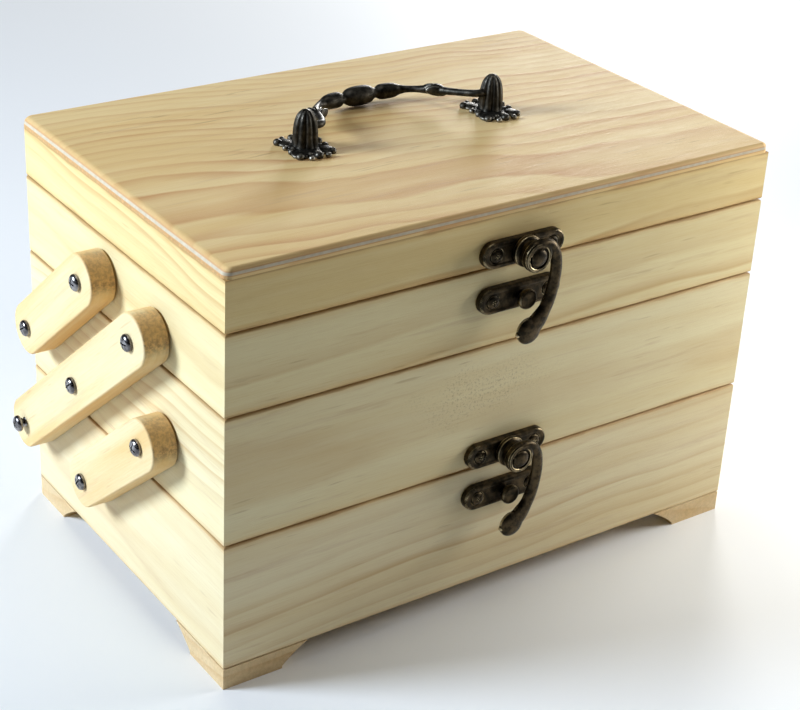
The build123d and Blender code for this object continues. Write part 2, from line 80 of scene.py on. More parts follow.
studio = {
    "air": (0.80, 0.84, 0.88),
    "airStrength": 0.02,
    "floorSize": 16.0,
    "floorColour": (0.86, 0.87, 0.87),
    "floorMottle": 0.985,
    "mottleScale": 9.0,
    "floorRoughness": 0.6,
    "floorGloss": 0.25,
    "lamps": [
        # name, place, aim, size, watts, colour
        ("windowLamp", (-0.75, 0.30, 0.42), (-0.05, 0.0, 0.06), 0.30, 9.3, (0.87, 1.0, 1.18)),
        ("backLamp", (0.90, 0.90, 0.35), (0.10, 0.10, 0.06), 0.40, 9.6, (1.0, 1.0, 0.99)),
        ("skyLamp", (0.0, 0.0, 1.10), (0.0, 0.0, 0.06), 0.60, 1.7, (1.0, 1.0, 1.0)),
        ("sideLamp", (0.95, 0.10, 0.40), (0.05, 0.0, 0.06), 0.40, 1.9, (1.0, 1.0, 1.0)),
        ("frontLamp", (0.245, -0.135, 0.14), (0.08, -0.05, 0.06), 0.13, 0.54, (1.0, 0.99, 0.95)),
    ],
}


def makeCamera():
    azimuth = math.radians(viewFrom["azimuth"])
    down = math.radians(viewFrom["down"])
    roll = math.radians(viewFrom["roll"])
    ahead = Vector((math.sin(azimuth) * math.cos(down), math.cos(azimuth) * math.cos(down), -math.sin(down)))
    level = ahead.cross(Vector((0, 0, 1))).normalized()
    upright = level.cross(ahead)
    right = level * math.cos(roll) + upright * math.sin(roll)
    top = upright * math.cos(roll) - level * math.sin(roll)
    data = bpy.data.cameras.new("camera")
    data.lens = viewFrom["lens"]
    data.sensor_width = viewFrom["sensor"]
    data.clip_start = viewFrom["near"]
    data.clip_end = viewFrom["far"]
    camera = bpy.data.objects.new("camera", data)
    turn = Matrix((right, top, -ahead)).transposed().to_4x4()
    camera.matrix_world = Matrix.Translation(viewFrom["place"]) @ turn
    scene.collection.objects.link(camera)
    scene.camera = camera


# node helpers
def feed(tree, socket, value):
    if isinstance(value, bpy.types.NodeSocket):
        tree.links.new(value, socket)
    elif value is not None:
        socket.default_value = value


def put(tree, kind, inputs=None, **settings):
    node = tree.nodes.new(kind)
    for name, value in settings.items():
        setattr(node, name, value)
    for name, value in (inputs or {}).items():
        feed(tree, node.inputs[name], value)
    return node


def sums(tree, operation, first, second=None, third=None):
    return put(tree, "ShaderNodeMath", {0: first, 1: second, 2: third}, operation=operation).outputs[0]


def vectors(tree, operation, first, second=None):
    node = put(tree, "ShaderNodeVectorMath", {0: first, 1: second}, operation=operation)
    return node.outputs["Value" if operation in ("DOT_PRODUCT", "LENGTH") else "Vector"]


def clouds(tree, where, scale, detail=2.0, rough=0.5, stretch=(1, 1, 1)):
    stretched = vectors(tree, "MULTIPLY", where, [scale * share for share in stretch])
    node = put(tree, "ShaderNodeTexNoise",
               {"Vector": stretched, "Scale": 1.0, "Detail": detail, "Roughness": rough})
    return node.outputs["Fac"]


def spread(tree, value, low, high, toLow=0.0, toHigh=1.0):
    node = put(tree, "ShaderNodeMapRange", {0: value, 1: low, 2: high, 3: toLow, 4: toHigh},
               interpolation_type="SMOOTHSTEP")
    return node.outputs[0]


def blend(tree, share, first, second, way="MIX"):
    node = put(tree, "ShaderNodeMix", data_type="RGBA", blend_type=way)
    feed(tree, node.inputs[0], share)
    feed(tree, node.inputs[6], solid(first))
    feed(tree, node.inputs[7], solid(second))
    return node.outputs[2]


def solid(colour):
    return (*colour, 1.0) if isinstance(colour, tuple) and len(colour) == 3 else colour


def ramp(tree, value, stops):
    node = put(tree, "ShaderNodeValToRGB", {0: value})
    points = node.color_ramp.elements
    while len(points) < len(stops):
        points.new(0.5)
    for point, (place, colour) in zip(points, stops):
        point.position = place
        point.color = solid(colour)
    return node.outputs[0]


def newFinish(name):
    material = bpy.data.materials.new(name)
    material.use_nodes = True
    tree = material.node_tree
    tree.nodes.clear()
    shader = put(tree, "ShaderNodeBsdfPrincipled")
    result = put(tree, "ShaderNodeOutputMaterial")
    tree.links.new(shader.outputs[0], result.inputs["Surface"])
    return material, tree, shader


def bumps(tree, shader, height, depth, strength):
    node = put(tree, "ShaderNodeBump", {"Strength": strength, "Distance": depth, "Height": height})
    tree.links.new(node.outputs[0], shader.inputs["Normal"])


# floor, air and lamps
def floorFinish():
    material, tree, shader = newFinish("pale floor")
    where = put(tree, "ShaderNodeTexCoord").outputs["Object"]
    mottle = clouds(tree, where, studio["mottleScale"], 3.0)
    low = tuple(share * studio["floorMottle"] for share in studio["floorColour"])
    feed(tree, shader.inputs["Base Color"], blend(tree, mottle, low, studio["floorColour"]))
    shader.inputs["Roughness"].default_value = studio["floorRoughness"]
    shader.inputs["Specular IOR Level"].default_value = studio["floorGloss"]
    return material


def makeStudio():
    half = studio["floorSize"] / 2
    mesh = bpy.data.meshes.new("floor")
    corners = [(-half, -half, 0), (half, -half, 0), (half, half, 0), (-half, half, 0)]
    mesh.from_pydata(corners, [], [(0, 1, 2, 3)])
    mesh.materials.append(floorFinish())
    floor = bpy.data.objects.new("floor", mesh)
    scene.collection.objects.link(floor)
    world = bpy.data.worlds.new("air")
    world.use_nodes = True
    sky = world.node_tree.nodes["Background"]
    sky.inputs["Color"].default_value = solid(studio["air"])
    sky.inputs["Strength"].default_value = studio["airStrength"]
    scene.world = world
    for name, place, aim, size, watts, colour in studio["lamps"]:
        data = bpy.data.lights.new(name, "AREA")
        data.shape = "DISK"
        data.size = size
        data.energy = watts
        data.color = colour
        lamp = bpy.data.objects.new(name, data)
        lamp.location = place
        lamp.rotation_euler = (Vector(aim) - Vector(place)).to_track_quat("-Z", "Y").to_euler()
        scene.collection.objects.link(lamp)
    scene.view_settings.view_transform = "Standard"


# wood
smudges = {
    "lower_tray_front": {"centre": (-0.008, 0.0, 0.070), "size": 0.030, "flatness": 2.4, "raggedness": 90.0,
                         "specks": 1300.0, "strength": 0.55, "colour": (0.33, 0.22, 0.13)},
}
tints = {
    "lid": (0.96, 0.92, 0.72),
    "upper_tray": (0.97, 0.99, 0.90),
    "lower_tray": (0.96, 1.0, 0.98),
    "base": (0.95, 0.98, 1.0),
}
pine = {
    "early": (0.83, 0.70, 0.44),
    "middle": (0.78, 0.62, 0.35),
    "late": (0.60, 0.38, 0.17),
    "fleck": (0.36, 0.19, 0.07),
    "streak": (0.56, 0.35, 0.20),
    "streaks": 0.35,
    "edge": (0.72, 0.47, 0.20),
    "endGrain": (0.42, 0.24, 0.09),
    "ringWidth": 3.4,
    "ringShow": 0.95,
    "wander": 2.6,
    "flecks": 0.32,
    "fibre": 0.20,
    "edgeShow": 0.45,
    "roughness": 0.62,
    "gloss": 0.35,
    "relief": 0.00012,
    "reliefShow": 0.55,
}
# how finely each pattern is drawn, per metre: along the grain, across it and into the wood
patterns = {
    "drift": (9, 30, 30),
    "sway": (14, 5, 5),
    "patches": (12, 60, 60),
    "bands": (6, 90, 90),
    "fibre": (90, 2600, 2600),
    "pores": (170, 1500, 1500),
    "resin": (75, 900, 900),
    "resinOften": (20, 40, 40),
    "streaks": (16, 260, 260),
    "scorch": (60, 400, 400),
}
# how dark one ring is, from its early wood to its late wood
ringShades = [(0.0, 0.0), (0.45, 0.10), (0.80, 0.75), (0.90, 1.0), (1.0, 0.0)]
# heights from a rim, in metres
scorch = {"ragged": 0.0018, "warmFrom": 0.0022, "warmTo": 0.0004, "warm": 0.45,
          "burntFrom": 0.0008, "burntTo": 0.0001, "burnt": 0.75}
lidPlies = {"coreLow": 0.0009, "coreHigh": 0.0020, "core": (0.47, 0.38, 0.25),
            "coreLight": (0.66, 0.58, 0.43), "coreBlur": 0.00015,
            "glueFrom": 0.00022, "glueTo": 0.00008, "glueShow": 0.8}
# the arms' end colour is partly their own darker end grain and partly painted shade on the arm ends
armWoodPaintedEndShade = {**pine, "early": (0.80, 0.66, 0.38), "middle": (0.76, 0.52, 0.22), "late": (0.62, 0.36, 0.13),
           "endGrain": (0.20, 0.11, 0.045), "ringWidth": 2.6, "ringShow": 0.55, "flecks": 0.3}
lidPly = {**pine, "early": (0.84, 0.63, 0.30), "middle": (0.78, 0.54, 0.22), "late": (0.60, 0.31, 0.11),
          "ringWidth": 3.8, "ringShow": 1.35, "wander": 8.0, "flecks": 0.5, "fibre": 0.16}
thinPly = {**lidPly, "early": (0.76, 0.61, 0.38), "middle": (0.70, 0.53, 0.31), "ringShow": 0.6,
           "ringWidth": 4.5, "roughness": 0.75}


def woodFinish(name, wood, along, across, pith, tilt=0.0, flat=1.0, plies=None, tint=(1, 1, 1), rims=None,
               smudge=None):
    # along is the way the grain runs; pith is where the heart of the tree lay, in mm
    material, tree, shader = newFinish(name)
    place = put(tree, "ShaderNodeTexCoord")
    where, facing = place.outputs["Object"], place.outputs["Normal"]
    along, across = Vector(along).normalized(), Vector(across).normalized()
    deep = along.cross(across)
    grain = vectors(tree, "DOT_PRODUCT", where, along)
    wide = vectors(tree, "DOT_PRODUCT", where, across)
    down = vectors(tree, "DOT_PRODUCT", where, deep)
    plank = put(tree, "ShaderNodeCombineXYZ", {0: grain, 1: wide, 2: down}).outputs[0]
    # growth rings round the pith, which wanders along the grain
    drift = sums(tree, "SUBTRACT", clouds(tree, plank, 1.0, 3.0, 0.55, patterns["drift"]), 0.5)
    sway = sums(tree, "SUBTRACT", clouds(tree, plank, 1.0, 1.0, 0.5, patterns["sway"]), 0.5)
    tilted = sums(tree, "MULTIPLY_ADD", grain, tilt, wide)
    swayed = sums(tree, "MULTIPLY_ADD", sway, wood["wander"] * mm * 4, tilted)
    side = sums(tree, "SUBTRACT", swayed, pith[0] * mm)
    back = sums(tree, "MULTIPLY", sums(tree, "SUBTRACT", down, pith[1] * mm), flat)
    radius = sums(tree, "SQRT", sums(tree, "ADD", sums(tree, "MULTIPLY", side, side),
                                     sums(tree, "MULTIPLY", back, back)))
    wavy = sums(tree, "MULTIPLY_ADD", drift, wood["wander"] * mm, radius)
    count = sums(tree, "DIVIDE", wavy, wood["ringWidth"] * mm)
    whichRing = sums(tree, "FLOOR", count)
    year = put(tree, "ShaderNodeTexWhiteNoise", {"W": whichRing}, noise_dimensions="1D").outputs[0]
    season = sums(tree, "FRACT", count)
    ring = ramp(tree, season, [(place, (shade,) * 3) for place, shade in ringShades])
    patchy = spread(tree, clouds(tree, plank, 1.0, 2.0, 0.5, patterns["patches"]), 0.30, 0.70, 0.35, 1.0)
    show = sums(tree, "MULTIPLY", sums(tree, "MULTIPLY_ADD", year, 0.75, 0.25), wood["ringShow"])
    late = sums(tree, "MULTIPLY", sums(tree, "MULTIPLY", ring, show), patchy)
    # broad bands, fibres, pores and short resin flecks
    bands = clouds(tree, plank, 1.0, 3.0, 0.6, patterns["bands"])
    fibre = clouds(tree, plank, 1.0, 4.0, 0.65, patterns["fibre"])
    pores = clouds(tree, plank, 1.0, 2.0, 0.6, patterns["pores"])
    resin = clouds(tree, plank, 1.0, 1.5, 0.5, patterns["resin"])
    streaks = clouds(tree, plank, 1.0, 4.0, 0.7, patterns["streaks"])
    colour = blend(tree, spread(tree, bands, 0.35, 0.70), wood["early"], wood["middle"])
    colour = blend(tree, late, colour, wood["late"])
    fibreShare = sums(tree, "MULTIPLY", spread(tree, fibre, 0.42, 0.75), wood["fibre"])
    colour = blend(tree, fibreShare, colour, wood["late"])
    streak = sums(tree, "MULTIPLY", spread(tree, streaks, 0.56, 0.74), wood["streaks"])
    colour = blend(tree, streak, colour, wood["streak"])
    often = spread(tree, clouds(tree, plank, 1.0, 1.0, 0.5, patterns["resinOften"]), 0.42, 0.66)
    fleck = sums(tree, "MULTIPLY", spread(tree, resin, 0.64, 0.76), often)
    fleck = sums(tree, "MULTIPLY", fleck, wood["flecks"])
    colour = blend(tree, fleck, colour, wood["fleck"])
    # rounded edges are a little scorched; end grain is darker and speckled, on the arms partly painted shade
    ends = sums(tree, "ABSOLUTE", vectors(tree, "DOT_PRODUCT", facing, along))
    endShare = spread(tree, ends, 0.45, 0.95, 0.0, 0.85)
    speckle = spread(tree, clouds(tree, where, 900.0, 3.0, 0.7), 0.35, 0.65)
    endGrainAndPaintedShade = blend(tree, speckle, wood["endGrain"], wood["late"])
    colour = blend(tree, endShare, colour, endGrainAndPaintedShade)
    upright = sums(tree, "ABSOLUTE", put(tree, "ShaderNodeSeparateXYZ", {0: facing}).outputs[2])
    rounding = sums(tree, "MULTIPLY", spread(tree, upright, 0.12, 0.50), spread(tree, upright, 0.999, 0.95))
    colour = blend(tree, sums(tree, "MULTIPLY", rounding, wood["edgeShow"]), colour, wood["edge"])
    if smudge:
        colour = smudged(tree, colour, where, smudge)
    if rims:
        colour = scorchedRims(tree, colour, where, plank, rims, wood)
    if plies:
        colour = plyEdges(tree, colour, where, plies, wood)
    feed(tree, shader.inputs["Base Color"], blend(tree, 1.0, colour, tuple(tint), "MULTIPLY"))
    feed(tree, shader.inputs["Roughness"], spread(tree, fibre, 0.2, 0.8, wood["roughness"] - 0.08,
                                                  wood["roughness"] + 0.10))
    shader.inputs["Specular IOR Level"].default_value = wood["gloss"]
    relief = sums(tree, "MULTIPLY_ADD", pores, 0.5, sums(tree, "MULTIPLY_ADD", late, 0.3, fibre))
    bumps(tree, shader, relief, wood["relief"], wood["reliefShow"])
    return material


def smudged(tree, colour, where, smudge):
    # a faint handled patch of specks, wider than it is high
    offset = vectors(tree, "SUBTRACT", where, tuple(smudge["centre"]))
    offset = vectors(tree, "MULTIPLY", offset, (1.0, 0.0, smudge["flatness"]))
    cloud = clouds(tree, where, smudge["raggedness"], 3.0)
    ragged = sums(tree, "MULTIPLY_ADD", cloud, smudge["size"], vectors(tree, "LENGTH", offset))
    patch = spread(tree, ragged, smudge["size"] * 1.5, smudge["size"] * 0.7)
    specks = spread(tree, clouds(tree, where, smudge["specks"], 3.0, 0.8), 0.50, 0.66)
    share = sums(tree, "MULTIPLY", sums(tree, "MULTIPLY", patch, specks), smudge["strength"])
    return blend(tree, share, colour, smudge["colour"])


def scorchedRims(tree, colour, where, plank, rims, wood):
    # the sanded rims above and below are browned, more in some places than in others
    height = put(tree, "ShaderNodeSeparateXYZ", {0: where}).outputs[2]
    above, below = sums(tree, "SUBTRACT", height, rims[0]), sums(tree, "SUBTRACT", rims[1], height)
    near = sums(tree, "MINIMUM", above, below)
    cloud = sums(tree, "SUBTRACT", clouds(tree, plank, 1.0, 3.0, 0.6, patterns["scorch"]), 0.5)
    ragged = sums(tree, "MULTIPLY_ADD", cloud, scorch["ragged"], near)
    warm = sums(tree, "MULTIPLY", spread(tree, ragged, scorch["warmFrom"], scorch["warmTo"]), scorch["warm"])
    burnt = spread(tree, ragged, scorch["burntFrom"], scorch["burntTo"])
    burnt = sums(tree, "MULTIPLY", burnt, scorch["burnt"])
    colour = blend(tree, warm, colour, wood["edge"])
    return blend(tree, burnt, colour, wood["endGrain"])


def plyEdges(tree, colour, where, plies, wood):
    # under the face veneer the edge shows a pale core between two thin glue lines
    height = put(tree, "ShaderNodeSeparateXYZ", {0: where}).outputs[2]
    low, high, blur = plies["coreLow"], plies["coreHigh"], plies["coreBlur"]
    above, below = spread(tree, height, low, low + blur), spread(tree, height, high + blur, high)
    core = sums(tree, "MULTIPLY", above, below)
    pale = blend(tree, clouds(tree, where, 700.0, 2.0), plies["core"], plies["coreLight"])
    colour = blend(tree, core, colour, pale)
    for line in (low, high):
        near = sums(tree, "ABSOLUTE", sums(tree, "SUBTRACT", height, line))
        glue = spread(tree, near, plies["glueFrom"], plies["glueTo"], 0.0, plies["glueShow"])
        colour = blend(tree, glue, colour, wood["late"])
    return colour


def grainOf(side):
    return (1, 0, 0) if side in ("front", "back") else (0, 1, 0)


# where the heart of the tree lay for each kind of piece, in mm, and how far its grain may tilt
cuts = {
    "seed": 23,
    "board": {"offCentre": 60, "away": (70, 130), "tilt": 0.05},
    "bottom": {"offCentre": 20, "away": 90, "tilt": 0.08, "flat": 0.4},
    "lid": {"pith": (-35, 60), "tilt": 0.16, "flat": 0.5},
    "foot": {"offCentre": 20, "away": 40, "tilt": 0.02, "flat": 0.2},
    "arm": {"offCentre": 25, "away": (120, 160), "tilt": 0.04},
}


def finishWood():
    draw = random.Random(cuts["seed"])
    nodes = frame["nodes"]

    def paint(name, material):
        nodes[name].data.materials.clear()
        nodes[name].data.materials.append(material)

    def around(most):
        return draw.uniform(-most, most)

    for tier in ("base", "lower_tray", "upper_tray", "lid"):
        for side in ("front", "back", "left", "right"):
            low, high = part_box(f"{tier}_{side}_board")
            middle = (low.z + high.z) / 2 / mm
            pith = (middle + around(cuts["board"]["offCentre"]),
                    draw.choice((-1, 1)) * draw.uniform(*cuts["board"]["away"]))
            paint(f"{tier}_{side}_board",
                  woodFinish(f"pine {tier} {side}", pine, grainOf(side), (0, 0, 1), pith,
                             around(cuts["board"]["tilt"]), tint=tints[tier], rims=(low.z, high.z),
                             smudge=smudges.get(f"{tier}_{side}")))
    cut = cuts["bottom"]
    for tier in ("base", "lower_tray", "upper_tray"):
        paint(f"{tier}_bottom", woodFinish(f"thin ply {tier}", thinPly, (1, 0, 0), (0, 1, 0),
                                           (around(cut["offCentre"]), cut["away"]), cut["tilt"], cut["flat"]))
    cut = cuts["lid"]
    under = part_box("lid_top")[0].z
    plies = {**lidPlies, "coreLow": under + lidPlies["coreLow"], "coreHigh": under + lidPlies["coreHigh"]}
    paint("lid_top", woodFinish("lid ply", lidPly, (1, 0, 0), (0, 1, 0), cut["pith"], cut["tilt"],
                                cut["flat"], plies))
    cut = cuts["foot"]
    for name in nodes:
        if name.startswith("foot"):
            paint(name, woodFinish(f"pine {name}", pine, (1, 1, 0), (0, 0, 1),
                                   (around(cut["offCentre"]), cut["away"]), cut["tilt"], cut["flat"]))
    lean = joints["lower_tray_level"] - joints["trays_fold"]
    across = Vector((1, 0, 0)).cross(lean)
    cut = cuts["arm"]
    for side in ("left", "right"):
        for level in ("lower", "middle", "upper"):
            low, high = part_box(f"{side}_{level}_arm")
            offset = ((low + high) / 2).dot(across.normalized()) / mm + around(cut["offCentre"])
            pith = (offset, draw.uniform(*cut["away"]))
            paint(f"{side}_{level}_arm",
                  woodFinish(f"arm {side} {level}", armWoodPaintedEndShade, lean, across, pith, around(cut["tilt"])))


# metal
wear = {"passes": 3, "gain": 0.18, "most": 2, "ragged": 0.10, "hollowFrom": 0.36, "hollowTo": 0.49,
        "blotches": 420.0, "grains": 2600.0, "pittingShow": 0.6}
antiqueBrass = {
    "dark": (0.020, 0.016, 0.010),
    "body": (0.085, 0.060, 0.032),
    "worn": (0.58, 0.47, 0.28),
    "wearFrom": 0.59,
    "wearTo": 0.70,
    "roughLow": 0.28,
    "roughHigh": 0.50,
    "pitting": 0.00005,
}
darkBronze = {**antiqueBrass, "dark": (0.020, 0.019, 0.016), "body": (0.080, 0.072, 0.058),
              "worn": (0.36, 0.33, 0.27), "wearFrom": 0.61, "wearTo": 0.82, "roughLow": 0.38,
              "roughHigh": 0.60}
nickel = {**antiqueBrass, "dark": (0.13, 0.12, 0.12), "body": (0.34, 0.32, 0.31),
          "worn": (0.78, 0.75, 0.73), "wearTo": 0.75, "roughLow": 0.16, "roughHigh": 0.30, "pitting": 0.00001}
hingeBrass = {**antiqueBrass, "body": (0.19, 0.15, 0.085)}


def metalFinish(name, metal):
    # hollows stay dark, raised edges are rubbed bright, and the rest is blotchy
    material, tree, shader = newFinish(name)
    where = put(tree, "ShaderNodeTexCoord").outputs["Object"]
    raised = put(tree, "ShaderNodeAttribute", attribute_name="raised").outputs["Fac"]
    blotch = clouds(tree, where, wear["blotches"], 3.0, 0.6)
    grains = clouds(tree, where, wear["grains"], 2.0, 0.6)
    ragged = sums(tree, "MULTIPLY_ADD", sums(tree, "SUBTRACT", blotch, 0.5), wear["ragged"], raised)
    body = blend(tree, spread(tree, blotch, 0.35, 0.68), metal["dark"], metal["body"])
    hollow = spread(tree, ragged, wear["hollowFrom"], wear["hollowTo"])
    body = blend(tree, hollow, metal["dark"], body)
    rubbed = spread(tree, ragged, metal["wearFrom"], metal["wearTo"])
    feed(tree, shader.inputs["Base Color"], blend(tree, rubbed, body, metal["worn"]))
    shader.inputs["Metallic"].default_value = 1.0
    rough = spread(tree, grains, 0.25, 0.75, metal["roughLow"], metal["roughHigh"])
    feed(tree, shader.inputs["Roughness"], rough)
    bumps(tree, shader, sums(tree, "ADD", blotch, grains), metal["pitting"], wear["pittingShow"])
    return material


# mesh helpers, in mm, on a place matrix whose Z is the piece's own axis
def facing(point, way, up=(0, 0, 1)):
    out = Vector(way).normalized()
    side = Vector(up).cross(out)
    side = side.normalized() if side.length > 1e-6 else Vector((1, 0, 0))
    turn = Matrix((side, out.cross(side), out)).transposed().to_4x4()
    return Matrix.Translation(Vector(point)) @ turn


def addLoops(build, loops, place):
    # skins a stack of equal rings and closes both ends
    rings = [[build.verts.new(place @ Vector(point)) for point in loop] for loop in loops]
    count = len(rings[0])
    for lower, upper in zip(rings, rings[1:]):
        for i in range(count):
            j = (i + 1) % count
            build.faces.new((lower[i], lower[j], upper[j], upper[i]))
    build.faces.new(list(reversed(rings[0])))
    build.faces.new(rings[-1])


def addTurned(build, profile, place, steps):
    # profile runs from the bottom to the top as (radius, height)
    turns = [2 * math.pi * i / steps for i in range(steps)]
    loops = [[(r * math.cos(a), r * math.sin(a), h) for a in turns] for r, h in profile]
    addLoops(build, loops, place)


def addRod(build, points, sizes, up, steps):
    # an oval rod along points; sizes are (across, along up) radii
    points = [Vector(p) for p in points]
    turns = [2 * math.pi * i / steps for i in range(steps)]
    loops = []
    for i, point in enumerate(points):
        ahead = (points[min(i + 1, len(points) - 1)] - points[max(i - 1, 0)]).normalized()
        side = ahead.cross(Vector(up)).normalized()
        lift = side.cross(ahead)
        wide, tall = sizes[i]
        loops.append([point + side * wide * math.cos(a) + lift * tall * math.sin(a) for a in turns])
    addLoops(build, loops, Matrix.Identity(4))


def addBall(build, centre, radii, turn, steps):
    # an oval ball, turned about Z by an angle
    place = Matrix.Translation(Vector(centre)) @ Matrix.Rotation(turn, 4, "Z") @ Matrix.Diagonal((*radii, 1))
    bmesh.ops.create_uvsphere(build, u_segments=2 * steps, v_segments=steps, radius=1.0, matrix=place)


def arc(radius, base, height, steps, power):
    # the outline of a dome from its rim to just off its axis
    turns = [math.pi / 2 * i / steps for i in range(steps)] + [math.pi / 2 * 0.985]
    return [(radius * math.cos(a) ** power, base + height * math.sin(a)) for a in turns]


def curveThrough(points, steps):
    # a smooth line through the points, with the same number of steps between each two
    points = [Vector(p) for p in points]
    padded = [2 * points[0] - points[1], *points, 2 * points[-1] - points[-2]]
    line = []
    for i in range(len(points) - 1):
        a, b, c, d = padded[i:i + 4]
        for k in range(steps):
            t = k / steps
            line.append(0.5 * (2 * b + (c - a) * t + (2 * a - 5 * b + 4 * c - d) * t * t
                               + (3 * b - a - 3 * c + d) * t ** 3))
    return line + [points[-1]]


def between(table, share):
    # the value at a share, eased between (share, value) pairs
    for (a, first), (b, second) in zip(table, table[1:]):
        if share <= b:
            t = (share - a) / (b - a)
            t = t * t * (3 - 2 * t)
            return first + (second - first) * t
    return table[-1][1]


def toMesh(build, name, scale=mm):
    bmesh.ops.scale(build, vec=(scale,) * 3, verts=build.verts)
    bmesh.ops.recalc_face_normals(build, faces=build.faces)
    mesh = bpy.data.meshes.new(name)
    build.to_mesh(mesh)
    build.free()
    return mesh


def evaluated(thing):
    # the plain mesh that an object's modifiers give; the object is removed
    bpy.context.view_layer.update()
    graph = bpy.context.evaluated_depsgraph_get()
    mesh = bpy.data.meshes.new_from_object(thing.evaluated_get(graph))
    bpy.data.objects.remove(thing)
    return mesh


def holder(mesh):
    thing = bpy.data.objects.new(mesh.name, mesh)
    scene.collection.objects.link(thing)
    return thing


def cast(mesh, grain, soften):
    # fuses overlapping shapes into one skin, as in a casting, and softens its inner corners
    thing = holder(mesh)
    fuse = thing.modifiers.new("fuse", "REMESH")
    fuse.mode = "VOXEL"
    fuse.voxel_size = grain * mm
    fuse.use_smooth_shade = True
    smooth = thing.modifiers.new("soften", "SMOOTH")
    smooth.factor = 0.5
    smooth.iterations = soften
    return evaluated(thing)


def cutAway(mesh, cutter):
    thing, tool = holder(mesh), holder(cutter)
    cut = thing.modifiers.new("cut", "BOOLEAN")
    cut.operation = "DIFFERENCE"
    cut.solver = "EXACT"
    cut.object = tool
    result = evaluated(thing)
    bpy.data.objects.remove(tool)
    return result


def markRaised(mesh):
    # stores how far the surface bulges out (over a half) or in (under a half) at each point
    count = len(mesh.vertices)
    spots = numpy.empty(count * 3)
    mesh.vertices.foreach_get("co", spots)
    spots = spots.reshape(-1, 3) / mm
    ways = numpy.empty(count * 3)
    mesh.vertex_normals.foreach_get("vector", ways)
    ways = ways.reshape(-1, 3)
    ends = numpy.empty(len(mesh.edges) * 2, dtype=int)
    mesh.edges.foreach_get("vertices", ends)
    ends = numpy.concatenate((ends.reshape(-1, 2), ends.reshape(-1, 2)[:, ::-1]))
    step = spots[ends[:, 1]] - spots[ends[:, 0]]
    near = numpy.maximum(numpy.bincount(ends[:, 0], minlength=count), 1)
    lift = numpy.bincount(ends[:, 0], (step * ways[ends[:, 0]]).sum(1), count) / near
    reach = numpy.bincount(ends[:, 0], (step * step).sum(1), count) / near
    bulge = numpy.clip(-2 * lift / numpy.maximum(reach, 1e-4), -wear["most"], wear["most"])
    for _ in range(wear["passes"]):
        bulge = 0.5 * bulge + 0.5 * numpy.bincount(ends[:, 0], bulge[ends[:, 1]], count) / near
    mark = mesh.attributes.new("raised", "FLOAT", "POINT")
    mark.data.foreach_set("value", 0.5 + wear["gain"] * bulge)


def piece(name, mesh, body, finish, slot, *stoodFor):
    markRaised(mesh)
    mesh.materials.clear()
    mesh.materials.append(finish)
    mesh.polygons.foreach_set("material_index", [0] * len(mesh.polygons))
    thing = bpy.data.objects.new(name, mesh)
    scene.collection.objects.link(thing)
    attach(thing, body)
    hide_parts(*stoodFor)
    return thing


def shadeSmooth(mesh, angle):
    mesh.polygons.foreach_set("use_smooth", [True] * len(mesh.polygons))
    mesh.set_sharp_from_angle(angle=math.radians(angle))
    return mesh


# screws
# sizes in mm; clear is the gap left to the arm and to the model's own sides, sunk is how deep the head sits
pivotScrew = {"head": 2.5, "height": 1.75, "shank": 1.42, "core": 1.05, "pitch": 0.8, "length": 13.0,
              "slot": 1.55, "slotWidth": 0.48, "slotDepth": 1.15, "steps": 40, "clear": 0.1, "seed": 3}
plateScrew = {"head": 1.9, "height": 0.75, "shank": 0.95, "core": 0.72, "pitch": 0.6, "length": 6.6,
              "slot": 1.15, "slotWidth": 0.34, "slotDepth": 0.6, "steps": 32, "sunk": 0.35, "seed": 11}
hingeScrew = {**plateScrew, "head": 1.8, "height": 0.68, "length": 5.8, "apart": 15.0, "sunk": 0.7,
              "seed": 21}
handleScrew = {**pivotScrew, "head": 2.8, "height": 1.45, "length": 6.8, "slotDepth": 0.9, "seed": 31}


def screwMesh(name, screw):
    # a cross-recess pan head on a threaded shank, its seat at the origin and its head along +Z
    build = bmesh.new()
    tip = -screw["length"]
    profile = [(0.05, tip), (screw["core"] * 0.6, tip + screw["core"] * 0.8)]
    turns = int((screw["length"] - 1.6) / screw["pitch"])
    for i in range(turns):
        low = tip + 1.4 + i * screw["pitch"]
        profile += [(screw["core"], low), (screw["shank"], low + screw["pitch"] * 0.5)]
    profile += [(screw["core"], -0.15), (screw["core"], 0.0), (screw["head"] * 0.96, 0.0)]
    profile += arc(screw["head"], screw["height"] * 0.22, screw["height"] * 0.78, 9, 0.72)
    addTurned(build, profile, Matrix.Identity(4), screw["steps"])
    body = toMesh(build, name)
    reach, half = screw["slot"], screw["slotWidth"] / 2
    cross = [(reach, -half), (reach, half), (half, half), (half, reach), (-half, reach), (-half, half),
             (-reach, half), (-reach, -half), (-half, -half), (-half, -reach), (half, -reach), (half, -half)]
    bottom = screw["height"] - screw["slotDepth"]
    tool = bmesh.new()
    loops = [[(x * 0.62, y * 0.62, bottom) for x, y in cross],
             [(x, y, screw["height"] * 0.86) for x, y in cross],
             [(x * 1.15, y * 1.15, screw["height"] + 0.6) for x, y in cross]]
    addLoops(tool, loops, Matrix.Identity(4))
    return shadeSmooth(cutAway(body, toMesh(tool, "cross")), 40)


def nodeTree(name, inputs, output):
    # a Geometry Nodes tree with named sockets, and what its inputs give
    tree = bpy.data.node_groups.new(name, "GeometryNodeTree")
    for label, kind in inputs:
        tree.interface.new_socket(label, in_out="INPUT", socket_type=f"NodeSocket{kind}")
    tree.interface.new_socket(output, in_out="OUTPUT", socket_type="NodeSocketGeometry")
    return tree, put(tree, "NodeGroupInput").outputs


